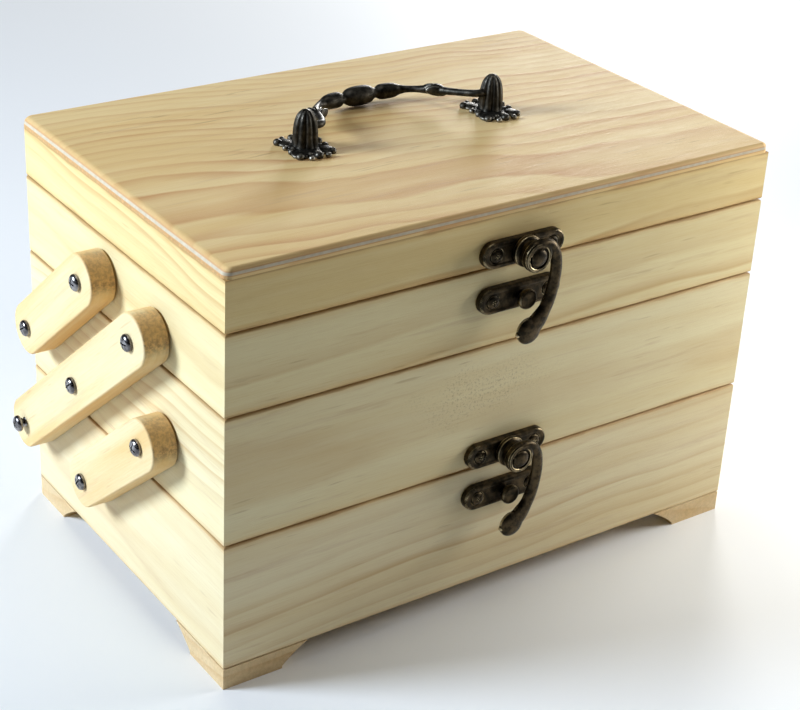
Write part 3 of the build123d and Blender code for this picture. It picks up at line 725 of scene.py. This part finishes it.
def screwSetter():
    # sets a copy of one screw at every place, facing the way that place faces, each turned by chance
    tree, given = nodeTree("set screws", [("Places", "Geometry"), ("Screw", "Object"), ("Size", "Float"),
                                          ("Seed", "Int"), ("Finish", "Material")], "Screws")
    way = put(tree, "GeometryNodeInputNamedAttribute", {"Name": "facing"}, data_type="FLOAT_VECTOR")
    aimed = put(tree, "FunctionNodeAlignRotationToVector", {"Vector": way.outputs[0]}, axis="Z")
    chance = put(tree, "FunctionNodeRandomValue", {"Seed": given["Seed"]}, data_type="FLOAT")
    chance.inputs[3].default_value = 2 * math.pi
    twist = put(tree, "FunctionNodeAxisAngleToRotation", {"Axis": (0, 0, 1), "Angle": chance.outputs[1]})
    turned = put(tree, "FunctionNodeRotateRotation", {0: aimed.outputs[0], 1: twist.outputs[0]},
                 rotation_space="LOCAL")
    shape = put(tree, "GeometryNodeObjectInfo", {"Object": given["Screw"]})
    copies = put(tree, "GeometryNodeInstanceOnPoints", {
        "Points": given["Places"], "Instance": shape.outputs["Geometry"], "Rotation": turned.outputs[0],
        "Scale": given["Size"]})
    real = put(tree, "GeometryNodeRealizeInstances", {0: copies.outputs[0]})
    painted = put(tree, "GeometryNodeSetMaterial", {"Geometry": real.outputs[0], "Material": given["Finish"]})
    put(tree, "NodeGroupOutput", {"Screws": painted.outputs[0]})
    return tree


def growNodes(thing, tree, values):
    grown = thing.modifiers.new(tree.name, "NODES")
    grown.node_group = tree
    for item in tree.interface.items_tree:
        if item.in_out == "INPUT" and item.name in values:
            grown[item.identifier] = values[item.name]
    return evaluated(thing)


def setScrews(name, tree, shape, places, body, finish, slot, seed, *stoodFor):
    # places are (seat in metres, way the head faces)
    points = bpy.data.meshes.new(name)
    points.from_pydata([tuple(seat) for seat, way in places], [], [])
    ways = points.attributes.new("facing", "FLOAT_VECTOR", "POINT")
    ways.data.foreach_set("vector", [part for seat, way in places for part in way])
    template = holder(shape)
    mesh = growNodes(holder(points), tree, {"Screw": template, "Size": 1.0, "Seed": seed, "Finish": finish})
    bpy.data.objects.remove(template)
    return piece(name, mesh, body, finish, slot, *stoodFor)


def makeScrews(finishes):
    tree = screwSetter()
    shape = screwMesh("pivot screw", pivotScrew)
    baseMiddle, lowerMiddle = joints["trays_fold"], joints["lower_tray_level"]
    upperMiddle = joints["upper_tray_level"]
    baseLower, trayRear = joints["lower_arms_fold"], joints["upper_arms_fold"]
    step = lowerMiddle - baseMiddle
    clear = pivotScrew["clear"] * mm
    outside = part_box("right_middle_arm")[1].x + clear
    proud = cadHigh.x - (outside + pivotScrew["height"] * mm) - clear   # the rear base screws stand out
    pivots = {
        "base": ("base_pivot_screws", [(baseLower, 0), (baseMiddle, proud)]),
        "lower_tray": ("lower_tray_pivot_screws", [(baseLower + step, 0), (lowerMiddle, 0), (trayRear, 0)]),
        "upper_tray": ("upper_tray_pivot_screws", [(upperMiddle, 0), (trayRear + step, 0)]),
    }
    for seed, (body, (node, places)) in enumerate(pivots.items()):
        seats = [(Vector((sign * (outside + off), place.y, place.z)), (sign, 0, 0))
                 for sign in (-1, 1) for place, off in places]
        setScrews(f"{body}_pivots", tree, shape.copy(), seats, body, finishes["nickel"], "nickel",
                  seed + pivotScrew["seed"], node)
    small = screwMesh("plate screw", plateScrew)
    hinge = screwMesh("hinge screw", hingeScrew)
    plates = [("upper_latch", "lid"), ("upper_catch", "upper_tray"), ("lower_latch", "lower_tray"),
              ("lower_catch", "base")]
    for seed, (name, body) in enumerate(plates):
        low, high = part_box(f"{name}_screws")
        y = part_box(f"{name}_plate")[0].y + plateScrew["sunk"] * mm
        z = (low.z + high.z) / 2
        inset = plateScrew["head"] * mm
        seats = [(Vector((x, y, z)), (0, -1, 0)) for x in (low.x + inset, high.x - inset)]
        setScrews(f"{name}_fixings", tree, small.copy(), seats, body, finishes["brass"], "antique_brass",
                  seed + plateScrew["seed"], f"{name}_screws")
    for seed, (name, body) in enumerate((("lid_hinge", "lid"), ("tray_hinge", "upper_tray"))):
        low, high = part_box(f"{name}_screws")
        z = (low.z + high.z) / 2
        outer = high.x - hingeScrew["head"] * mm
        seats = [(Vector((sign * x, high.y - hingeScrew["sunk"] * mm, z)), (0, 1, 0))
                 for sign in (-1, 1) for x in (outer, outer - hingeScrew["apart"] * mm)]
        setScrews(f"{name}_fixings", tree, hinge.copy(), seats, body, finishes["hinge"], "hinge_brass",
                  seed + hingeScrew["seed"], f"{name}_screws")
    low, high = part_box("handle_screws")
    x, y = high.x - handleScrew["head"] * mm, (low.y + high.y) / 2
    seats = [(Vector((sign * x, y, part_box("lid_top")[0].z)), (0, 0, -1)) for sign in (-1, 1)]
    setScrews("handle_fixings", tree, screwMesh("handle screw", handleScrew), seats, "lid",
              finishes["nickel"], "nickel", handleScrew["seed"], "handle_screws")


# swing latches
latchPlate = {"chamfer": 0.75, "side": 1.55, "sinkRadius": 2.35, "sinkDepth": 0.5, "steps": 24,
              "grain": 0.16, "soften": 1}
latchArm = {
    "flange": 4.5, "neck": 3.8, "eye": 4.4, "bore": 3.05, "boreDepth": 0.6, "hookThick": 1.35,
    "grain": 0.18, "soften": 2,
    "line": [(-3.0, 1.0), (-1.3, 3.0), (1.5, 3.4), (4.4, 2.4), (6.4, -0.5), (7.0, -4.5), (6.7, -8.8),
             (5.8, -12.8), (4.3, -16.4), (2.0, -19.6), (-0.5, -21.7)],
    "halfWidth": [(0.0, 1.0), (0.12, 1.35), (0.3, 1.6), (0.6, 1.8), (0.78, 2.05), (0.9, 2.9), (1.0, 3.5)],
    "knob": (-0.6, -21.8), "knobRadius": 4.0, "knobThick": 1.5, "nub": (-4.1, -22.4), "nubRadius": 0.8,
}
rivet = {"shank": 1.15, "lip": 2.45, "head": 2.5, "under": 1.1, "domeFrom": 1.0, "dome": 0.95}
# the rim is how far in and how far down each step of the head's edge is
peg = {"shank": 1.5, "rim": [(0.25, 1.9), (0, 1.6), (0, 0.6), (0.2, 0.25), (0.55, 0.05), (0.9, 0)]}


def makeLatchPlate(name, body, finish):
    low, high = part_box(name)
    deep = (high.y - low.y) / mm
    centre = (low + high) / 2 / mm
    place = facing((centre.x, high.y / mm, centre.z), (0, -1, 0))
    radius = (high.z - low.z) / 2 / mm
    straight = (high.x - low.x) / 2 / mm - radius
    steps = latchPlate["steps"]

    def stadium(inset, height):
        points = []
        for end in (1, -1):
            for i in range(steps + 1):
                a = -math.pi / 2 + math.pi * i / steps
                points.append((end * (straight + (radius - inset) * math.cos(a)),
                               end * (radius - inset) * math.sin(a), height))
        return points

    chamfer, side = latchPlate["chamfer"], latchPlate["side"]
    rounding = [stadium(chamfer * (1 - math.cos(a)), side + (deep - side) * math.sin(a))
                for a in (math.pi / 2 * i / 5 for i in range(6))]
    build = bmesh.new()
    addLoops(build, [stadium(0.0, 0.0), *rounding, stadium(chamfer + 0.45, deep),
                     stadium(chamfer + 0.6, deep - 0.12)], place)
    mesh = toMesh(build, name)
    screwLow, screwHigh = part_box(name.replace("plate", "screws"))
    sinks = bmesh.new()
    for x in (screwLow.x / mm + plateScrew["head"], screwHigh.x / mm - plateScrew["head"]):
        face = facing((x, low.y / mm, centre.z), (0, -1, 0))
        addTurned(sinks, [(latchPlate["sinkRadius"] - 0.5, -latchPlate["sinkDepth"]),
                          (latchPlate["sinkRadius"] + 0.2, 0.2)], face, 32)
    mesh = cast(cutAway(mesh, toMesh(sinks, "sinks")), latchPlate["grain"], latchPlate["soften"])
    return piece(f"{name}_cast", mesh, body, finish, "antique_brass", name)


def makeLatchArm(name, body, finish):
    low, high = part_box(f"{name}_arm")
    rivetLow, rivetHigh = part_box(f"{name}_rivet")
    pivot = Vector((rivetLow.x + rivetHigh.x, 0, rivetLow.z + rivetHigh.z)) / 2 / mm
    back, front = high.y / mm, low.y / mm + 0.5         # toward the box, toward the viewer
    drum = facing((pivot.x, back, pivot.z), (0, -1, 0))
    tall = back - front - 0.2
    build = bmesh.new()
    addTurned(build, [(latchArm["flange"] - 0.35, 0.0), (latchArm["flange"], 0.35), (latchArm["flange"], 1.5),
                      (latchArm["neck"], 2.1), (latchArm["neck"], tall - 2.4), (latchArm["eye"], tall - 2.0),
                      (latchArm["eye"], tall - 0.5), (latchArm["eye"] - 0.45, tall),
                      (latchArm["bore"] + 0.2, tall), (latchArm["bore"], tall - latchArm["boreDepth"]),
                      (0.05, tall - latchArm["boreDepth"])], drum, 48)
    middle = front + 0.2 + latchArm["hookThick"]
    line = curveThrough([(pivot.x + x, middle, pivot.z + z) for x, z in latchArm["line"]], 8)
    shares = [i / (len(line) - 1) for i in range(len(line))]
    sizes = [(between(latchArm["halfWidth"], share), latchArm["hookThick"]) for share in shares]
    addRod(build, line, sizes, (0, -1, 0), 20)
    knob = Vector((pivot.x + latchArm["knob"][0], middle, pivot.z + latchArm["knob"][1]))
    addBall(build, knob, (latchArm["knobRadius"], latchArm["knobThick"], latchArm["knobRadius"]), 0.0, 20)
    nub = Vector((pivot.x + latchArm["nub"][0], middle, pivot.z + latchArm["nub"][1]))
    addBall(build, nub, (latchArm["nubRadius"],) * 3, 0.0, 10)
    mesh = cast(toMesh(build, f"{name}_hook"), latchArm["grain"], latchArm["soften"])
    return piece(f"{name}_hook", mesh, body, finish, "antique_brass", f"{name}_arm")


def makeRivet(name, body, finish):
    low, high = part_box(name)
    centre = (low + high) / 2 / mm
    seat = facing((centre.x, high.y / mm, centre.z), (0, -1, 0))
    tall = (high.y - low.y) / mm
    build = bmesh.new()
    under, dome = tall - rivet["under"], arc(rivet["head"], tall - rivet["domeFrom"], rivet["dome"], 8, 0.9)
    addTurned(build, [(rivet["shank"], 0.0), (rivet["shank"], under), (rivet["lip"], under), *dome], seat, 36)
    return piece(f"{name}_head", shadeSmooth(toMesh(build, name), 50), body, finish, "antique_brass", name)


def makePeg(name, body, finish):
    low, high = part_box(name)
    centre = (low + high) / 2 / mm
    seat = facing((centre.x, high.y / mm, centre.z), (0, -1, 0))
    tall, head = (high.y - low.y) / mm, (high.x - low.x) / 2 / mm
    build = bmesh.new()
    shank = [(peg["shank"], 0.0), (peg["shank"], tall - 2.2), (peg["shank"] + 0.25, tall - 2.0)]
    rim = [(head - inset, tall - down) for inset, down in peg["rim"]]
    addTurned(build, [*shank, *rim, (0.05, tall)], seat, 40)
    return piece(f"{name}_turned", shadeSmooth(toMesh(build, name), 40), body, finish, "antique_brass", name)


def makeLatches(finish):
    for name, plateBody, catchBody, armBody, rivetBody in (
            ("upper", "lid", "upper_tray", "upper_latch", "lid"),
            ("lower", "lower_tray", "base", "lower_latch", "lower_latch")):
        makeLatchPlate(f"{name}_latch_plate", plateBody, finish)
        makeLatchPlate(f"{name}_catch_plate", catchBody, finish)
        makeLatchArm(f"{name}_latch", armBody, finish)
        makeRivet(f"{name}_latch_rivet", rivetBody, finish)
        makePeg(f"{name}_catch_peg", catchBody, finish)


# drop handle
handlePost = {
    "ribs": 9, "ribDepth": 0.20, "foot": 3.75, "waist": 3.5, "grain": 0.16, "soften": 2,
    "disc": (5.2, 7.0, 0.75),
    "lobes": [(3.4, 5.4, 2.3), (4.3, -4.2, 2.3)],
    "rimSwell": 0.14,
    # how many beads, their oval and the radius of each
    "beads": [(14, (6.0, 8.6), 1.05), (11, (4.4, 6.0), 1.05 * 0.8)],
}
handleBail = {
    "route": [(29.3, 0.0), (26.9, 0.2), (24.8, 3.1), (22.6, 8.0), (20.6, 13.2), (15.6, 19.4), (10.4, 21.6),
              (5.2, 22.2), (0.0, 22.4)],
    "thickness": [(0.0, 1.22), (0.03, 1.10), (0.12, 1.05), (0.16, 1.15), (0.21, 1.35), (0.25, 1.15),
                  (0.285, 1.0), (0.33, 1.35), (0.395, 2.35), (0.422, 1.85), (0.431, 1.50), (0.442, 1.85),
                  (0.50, 2.95)],
    # side, place along the route, length and spread of each leaf
    "leaves": [(1, 0.245, 4.2, 0.6), (-1, 0.225, 4.0, 1.0)],
    "pleats": 5, "leafFan": 0.36, "leafApart": 0.95, "leafBack": 0.4,
    "clear": 2.9, "grain": 0.17, "soften": 2, "rings": 260, "sides": 24,
}


def makeHandlePost(name, finish):
    low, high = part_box(name)
    x, y = (low.x + high.x) / 2 / mm, joints["handle_swing"].y / mm
    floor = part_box("lid_top")[1].z / mm
    tall = high.z / mm - floor
    steps = 72
    turns = [2 * math.pi * i / steps for i in range(steps)]
    build = bmesh.new()
    loops = []
    rise = 26
    for k in range(rise + 1):
        share = k / rise
        height = 0.4 + (tall - 0.4) * share
        swell = handlePost["waist"] + (handlePost["foot"] - handlePost["waist"]) * (1 - share) ** 2
        radius = swell * max(1 - share ** 4.2, 0.0) ** 0.55 + 0.02
        depth = handlePost["ribDepth"] * min(1.0, share * 5)
        fluted = [radius * (1 - depth * (1 - abs(math.sin(handlePost["ribs"] * a / 2)) ** 0.7))
                  for a in turns]
        loops.append([(r * math.cos(a), r * math.sin(a), height) for r, a in zip(fluted, turns)])
    addLoops(build, loops, Matrix.Translation((x, y, floor)))
    wide, long, thick = handlePost["disc"]
    addTurned(build, [(0.94, 0.0), (1.0, 0.25), (0.98, thick), (0.55, thick + 0.35), (0.02, thick + 0.35)],
              Matrix.Translation((x, y, floor)) @ Matrix.Diagonal((wide, long, 1, 1)), 60)
    for sign in (-1, 1):
        for lobeX, lobeY, radius in handlePost["lobes"]:
            centre = (x + sign * lobeX, y + lobeY, floor + 0.45)
            addBall(build, centre, (radius, radius * 1.15, 0.95), 0.0, 14)
    for count, rim, size in handlePost["beads"]:
        for i in range(count):
            a = 2 * math.pi * (i + 0.5) / count
            swell = 1 + handlePost["rimSwell"] * math.cos(4 * a + math.pi)
            radius = size * (1.0 + 0.18 * math.cos(2.5 * i))
            centre = (x + rim[0] * swell * math.cos(a), y + rim[1] * swell * math.sin(a),
                      floor + radius * 0.6)
            addBall(build, centre, (radius, radius, radius * 0.9), 0.0, 12)
    mesh = cast(toMesh(build, name), handlePost["grain"], handlePost["soften"])
    for vertex in mesh.vertices:
        vertex.co.z = max(vertex.co.z, floor * mm)
    return piece(f"{name}_cast", mesh, "lid", finish, "dark_bronze", name)


def sweepTree(thickness):
    # skins a curve with a round rod that is thick or thin along it, and the same from both ends
    tree, given = nodeTree("swell along route", [("Route", "Geometry"), ("Thickest", "Float"),
                                                 ("Rings", "Int"), ("Sides", "Int"),
                                                 ("Finish", "Material")], "Rod")
    even = put(tree, "GeometryNodeResampleCurve", {"Curve": given["Route"], "Count": given["Rings"]})
    share = put(tree, "GeometryNodeSplineParameter").outputs["Factor"]
    profile = put(tree, "ShaderNodeFloatCurve", {"Value": share})
    line = profile.mapping.curves[0]
    full = thickness + [(1 - place, value) for place, value in reversed(thickness[:-1])]
    most = max(value for place, value in full)
    while len(line.points) < len(full):
        line.points.new(0.5, 0.5)
    for point, (place, value) in zip(line.points, full):
        point.location = (place, value / most)
    profile.mapping.update()
    swell = put(tree, "ShaderNodeMath", {0: profile.outputs[0], 1: given["Thickest"]}, operation="MULTIPLY")
    ring = put(tree, "GeometryNodeCurvePrimitiveCircle", {"Resolution": given["Sides"], "Radius": 1.0})
    skin = put(tree, "GeometryNodeCurveToMesh", {"Curve": even.outputs[0], "Profile Curve": ring.outputs[0],
                                                "Scale": swell.outputs[0], "Fill Caps": True})
    real = put(tree, "GeometryNodeRealizeInstances", {0: skin.outputs[0]})
    painted = put(tree, "GeometryNodeSetMaterial", {"Geometry": real.outputs[0], "Material": given["Finish"]})
    put(tree, "NodeGroupOutput", {"Rod": painted.outputs[0]})
    return tree, most


def makeBail(finish):
    pin = joints["handle_swing"] / mm
    low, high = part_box("handle_bail")
    reach = high.y / mm - pin.y - handleBail["clear"]
    drop = pin.z - low.z / mm - handleBail["clear"]
    tilt = math.asin(drop / reach)
    back = Vector((0, math.cos(tilt), -math.sin(tilt)))
    half = [Vector((x, pin.y, pin.z)) + back * away for x, away in handleBail["route"]]
    mirrored = [Vector((-point.x, point.y, point.z)) for point in reversed(half[:-1])]
    line = curveThrough(half + mirrored, 12)
    data = bpy.data.curves.new("bail route", "CURVE")
    data.dimensions = "3D"
    spline = data.splines.new("POLY")
    spline.points.add(len(line) - 1)
    for point, place in zip(spline.points, line):
        point.co = (*(place * mm), 1)
    tree, most = sweepTree(handleBail["thickness"])
    rod = growNodes(holder(data), tree, {"Thickest": most * mm, "Rings": handleBail["rings"],
                                         "Sides": handleBail["sides"], "Finish": finish})
    build = bmesh.new()
    for leaf in handleBail["leaves"]:
        addLeaf(build, line, *leaf)
    leaves = toMesh(build, "leaves")
    whole = bmesh.new()
    whole.from_mesh(rod)
    whole.from_mesh(leaves)
    mesh = cast(toMesh(whole, "bail", 1.0), handleBail["grain"], handleBail["soften"])
    return piece("handle_bail_cast", mesh, "handle", finish, "dark_bronze", "handle_bail")


def addLeaf(build, line, side, share, length, fan):
    # a pleated leaf lying along the rod, opening away from the post
    index = int((share if side > 0 else 1 - share) * (len(line) - 1))
    centre = line[index]
    ahead = (line[index + 3] - line[index - 3]).normalized() * side
    wide = Vector((0, 0, 1)).cross(ahead).normalized()
    half = (handleBail["pleats"] - 1) / 2
    for i in range(handleBail["pleats"]):
        lean = i - half
        way = (ahead + wide * lean * handleBail["leafFan"] * fan).normalized()
        middle = (centre + wide * lean * handleBail["leafApart"] * fan
                  - ahead * abs(lean) * handleBail["leafBack"])
        radii = (length * (1 - 0.12 * abs(lean)), 0.50 + 0.15 * fan, 1.9 - 0.2 * abs(lean))
        addBall(build, middle, radii, math.atan2(way.y, way.x), 12)


hingeEdge = {"width": 0.12, "segments": 2, "angle": 50}


def makeHinges(finish):
    # the CAD leaves and pins with their edges eased
    for name, body in (("lid_hinge_leaves", "lid"), ("tray_hinge_leaves", "upper_tray"),
                       ("hinge_pins", "upper_tray")):
        build = bmesh.new()
        build.from_mesh(frame["nodes"][name].data)
        bmesh.ops.remove_doubles(build, verts=build.verts, dist=1e-6)
        mesh = bpy.data.meshes.new(name)
        build.to_mesh(mesh)
        build.free()
        thing = holder(mesh)
        ease = thing.modifiers.new("ease", "BEVEL")
        ease.width = hingeEdge["width"] * mm
        ease.segments = hingeEdge["segments"]
        ease.limit_method = "ANGLE"
        ease.angle_limit = math.radians(hingeEdge["angle"])
        piece(f"{name}_eased", shadeSmooth(evaluated(thing), 40), body, finish, "hinge_brass", name)


def makeMetal():
    finishes = {
        "nickel": metalFinish("nickel plate", nickel),
        "brass": metalFinish("antique brass", antiqueBrass),
        "hinge": metalFinish("hinge brass", hingeBrass),
        "bronze": metalFinish("dark bronze", darkBronze),
    }
    makeScrews(finishes)
    print("screws are set")
    makeLatches(finishes["brass"])
    print("latches are made")
    for name in ("handle_post_left", "handle_post_right"):
        makeHandlePost(name, finishes["bronze"])
    makeBail(finishes["bronze"])
    makeHinges(finishes["hinge"])
    print("handle and hinges are made")


makeCamera()
makeStudio()
print("camera, floor and lamps are set")
finishWood()
print("wood is finished")
makeMetal()
